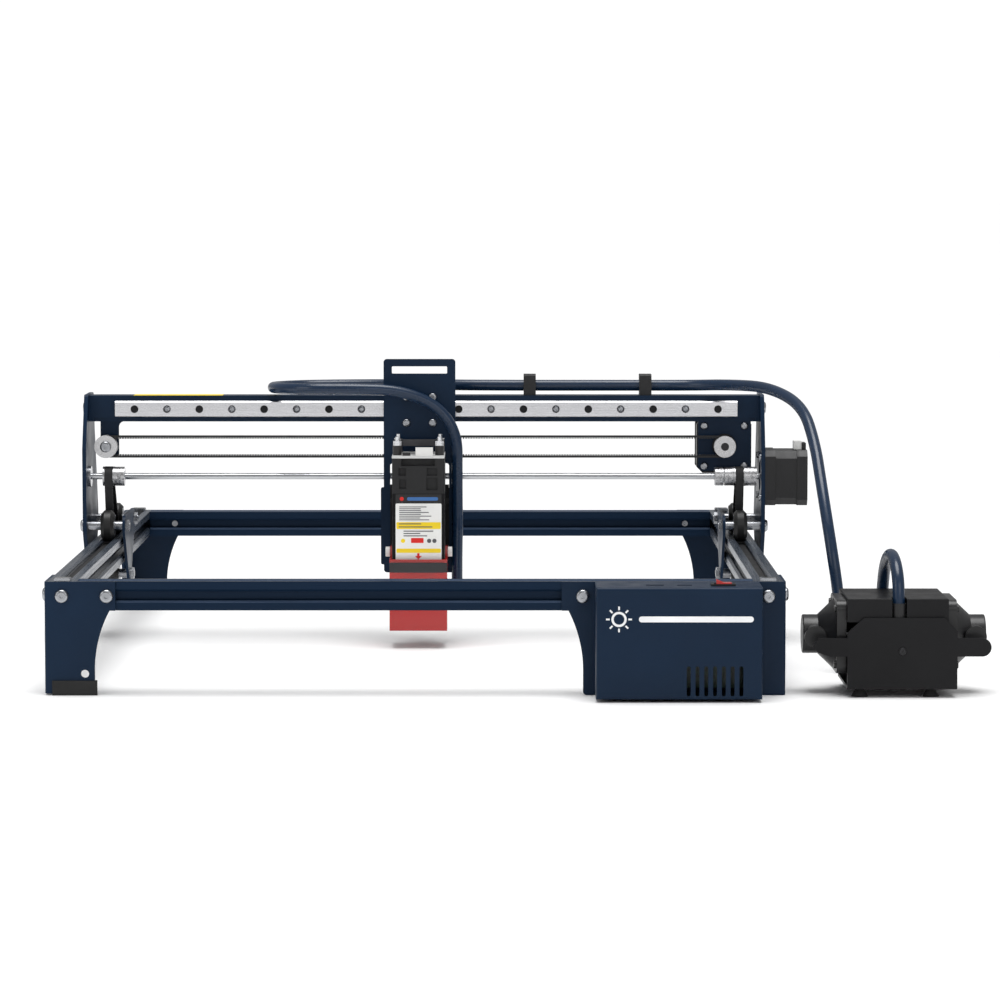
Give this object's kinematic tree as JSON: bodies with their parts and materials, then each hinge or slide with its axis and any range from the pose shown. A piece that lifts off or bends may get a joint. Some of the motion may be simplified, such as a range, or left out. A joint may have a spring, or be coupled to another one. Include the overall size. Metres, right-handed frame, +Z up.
{
  "type": "desktop laser cutter",
  "caption": "Open-frame desktop laser cutter: slotted-profile frame, belt-driven gantry and carriage, focusable laser head with red shield, control box, and an air pump with its hose.",
  "frame": {"origin": "on the table, under the middle of the frame's footprint (the pump stands outside it)", "axes": "+X to the operator's right, +Y from the front to the back, +Z up"},
  "size_m": [0.6605, 0.6327, 0.217],
  "materials": {
    "bare_aluminium": "satin",
    "bearing_steel": "polished",
    "belt_rubber": "matte",
    "black_anodised": "satin",
    "black_plastic": "matte",
    "black_rubber": "matte",
    "brass": "polished",
    "circuit_board": "satin",
    "clamp_bright": "polished",
    "coil_iron": "satin",
    "motor_black": "satin",
    "navy_anodised": "satin",
    "navy_hose": "gloss",
    "navy_painted_steel": "satin",
    "pump_black": "satin",
    "red_plastic": "gloss",
    "red_window": "gloss",
    "wheel_plastic": "satin",
    "zinc_steel": "satin"
  },
  "bodies": {
    "frame": {"front_left_leg": "navy_painted_steel", "front_right_leg": "navy_painted_steel", "rear_legs": "navy_painted_steel", "cross_beams": "navy_anodised", "y_rails": "navy_anodised", "rubber_feet": "black_rubber", "frame_bolts": "zinc_steel", "y_belts": "belt_rubber", "belt_end_clamps": "clamp_bright", "control_box_cover": "navy_painted_steel", "control_board": "circuit_board", "switch_body": "black_plastic", "pump_chassis": "pump_black", "pump_lid": "pump_black", "pump_heads": "black_plastic", "pump_core": "coil_iron", "pump_nozzle": "black_plastic", "hose_supply": "navy_hose"},
    "gantry": {"x_beam": "black_anodised", "x_rail": "bearing_steel", "side_plates": "navy_anodised", "inner_plates": "navy_painted_steel", "wheel_axles": "zinc_steel", "belt_brackets": "navy_anodised", "x_motor": "motor_black", "y_motor": "motor_black", "gantry_screws": "zinc_steel", "x_belt": "belt_rubber", "y_belt_loops": "belt_rubber", "hose_clips": "black_plastic", "shaft_bearing": "bearing_steel", "hose_drag": "navy_hose"},
    "shaft": {"drive_shaft": "bearing_steel", "y_pulleys": "bare_aluminium", "shaft_coupling": "bare_aluminium"},
    "x_drive": {"x_drive_pulley": "bare_aluminium"},
    "x_idle": {"x_idler": "bare_aluminium"},
    "carriage": {"carriage_plate": "navy_anodised", "rail_block": "bearing_steel", "belt_clamp": "black_plastic", "carriage_bolts": "zinc_steel", "hose_drop": "navy_hose"},
    "laser": {"laser_housing": "black_anodised", "focus_clamp": "navy_anodised", "module_screws": "zinc_steel", "cooling_fan": "black_plastic", "driver_board": "circuit_board", "air_nozzle": "bare_aluminium", "laser_lens": "brass"},
    "fan": {"fan_rotor": "black_plastic"},
    "shield": {"laser_shield": "red_window"},
    "rocker": {"power_rocker": "red_plastic"},
    "armature": {"pump_armature": "zinc_steel"},
    "left_front_wheel_body": {"left_front_wheel": "wheel_plastic"},
    "left_rear_wheel_body": {"left_rear_wheel": "wheel_plastic"},
    "left_lower_wheel_body": {"left_lower_wheel": "wheel_plastic"},
    "right_front_wheel_body": {"right_front_wheel": "wheel_plastic"},
    "right_rear_wheel_body": {"right_rear_wheel": "wheel_plastic"},
    "right_lower_wheel_body": {"right_lower_wheel": "wheel_plastic"}
  },
  "joints": [
    {"name": "gantry_travel", "type": "slide", "parent": "frame", "child": "gantry", "axis": [0, 1, 0], "range_m": [-0.24, 0.16], "deforming": ["hose_supply"]},
    {"name": "carriage_travel", "type": "slide", "parent": "gantry", "child": "carriage", "axis": [1, 0, 0], "range_m": [-0.19, 0.199], "deforming": ["hose_drag"]},
    {"name": "focus_slide", "type": "slide", "parent": "carriage", "child": "laser", "axis": [0, 0, 1], "range_m": [-0.008, 0.008], "deforming": ["hose_drop"]},
    {"name": "shield_slide", "type": "slide", "parent": "laser", "child": "shield", "axis": [0, 0, 1], "range_m": [0, 0.01]},
    {"name": "fan_spin", "type": "hinge", "parent": "laser", "child": "fan", "pos_m": [-0.0034, 0.003, 0.13], "axis": [0, 0, 1], "continuous": true},
    {"name": "rocker_tilt", "type": "hinge", "parent": "frame", "child": "rocker", "pos_m": [0.2108, -0.317, 0.0785], "axis": [0, 1, 0], "range_deg": [-24, 0]},
    {"name": "armature_stroke", "type": "slide", "parent": "frame", "child": "armature", "axis": [1, 0, 0], "range_m": [-0.0015, 0.0015], "stiffness_N_per_m": 400},
    {"name": "shaft_spin", "type": "hinge", "parent": "gantry", "child": "shaft", "pos_m": [0, 0.0406, 0.126], "axis": [1, 0, 0], "continuous": true},
    {"name": "x_drive_spin", "type": "hinge", "parent": "gantry", "child": "x_drive", "pos_m": [0.2321, 0.041, 0.149], "axis": [0, 1, 0], "continuous": true},
    {"name": "x_idle_spin", "type": "hinge", "parent": "gantry", "child": "x_idle", "pos_m": [-0.2457, 0.041, 0.149], "axis": [0, 1, 0], "continuous": true},
    {"name": "left_front_wheel_spin", "type": "hinge", "parent": "gantry", "child": "left_front_wheel_body", "pos_m": [-0.2435, 0.03, 0.08863], "axis": [1, 0, 0], "continuous": true},
    {"name": "left_rear_wheel_spin", "type": "hinge", "parent": "gantry", "child": "left_rear_wheel_body", "pos_m": [-0.2435, 0.098, 0.08863], "axis": [1, 0, 0], "continuous": true},
    {"name": "left_lower_wheel_spin", "type": "hinge", "parent": "gantry", "child": "left_lower_wheel_body", "pos_m": [-0.2435, 0.064, 0.04837], "axis": [1, 0, 0], "continuous": true},
    {"name": "right_front_wheel_spin", "type": "hinge", "parent": "gantry", "child": "right_front_wheel_body", "pos_m": [0.2435, 0.03, 0.08863], "axis": [1, 0, 0], "continuous": true},
    {"name": "right_rear_wheel_spin", "type": "hinge", "parent": "gantry", "child": "right_rear_wheel_body", "pos_m": [0.2435, 0.098, 0.08863], "axis": [1, 0, 0], "continuous": true},
    {"name": "right_lower_wheel_spin", "type": "hinge", "parent": "gantry", "child": "right_lower_wheel_body", "pos_m": [0.2435, 0.064, 0.04837], "axis": [1, 0, 0], "continuous": true}
  ],
  "couplings": [
    {"joint": "shaft_spin", "follows": "gantry_travel", "rad_per_m": 157.08},
    {"joint": "x_drive_spin", "follows": "carriage_travel", "rad_per_m": 136.6},
    {"joint": "x_idle_spin", "follows": "carriage_travel", "rad_per_m": 136.6},
    {"joint": "left_front_wheel_spin", "follows": "gantry_travel", "rad_per_m": -92.59},
    {"joint": "left_rear_wheel_spin", "follows": "gantry_travel", "rad_per_m": -92.59},
    {"joint": "left_lower_wheel_spin", "follows": "gantry_travel", "rad_per_m": 92.59},
    {"joint": "right_front_wheel_spin", "follows": "gantry_travel", "rad_per_m": -92.59},
    {"joint": "right_rear_wheel_spin", "follows": "gantry_travel", "rad_per_m": -92.59},
    {"joint": "right_lower_wheel_spin", "follows": "gantry_travel", "rad_per_m": 92.59}
  ]
}
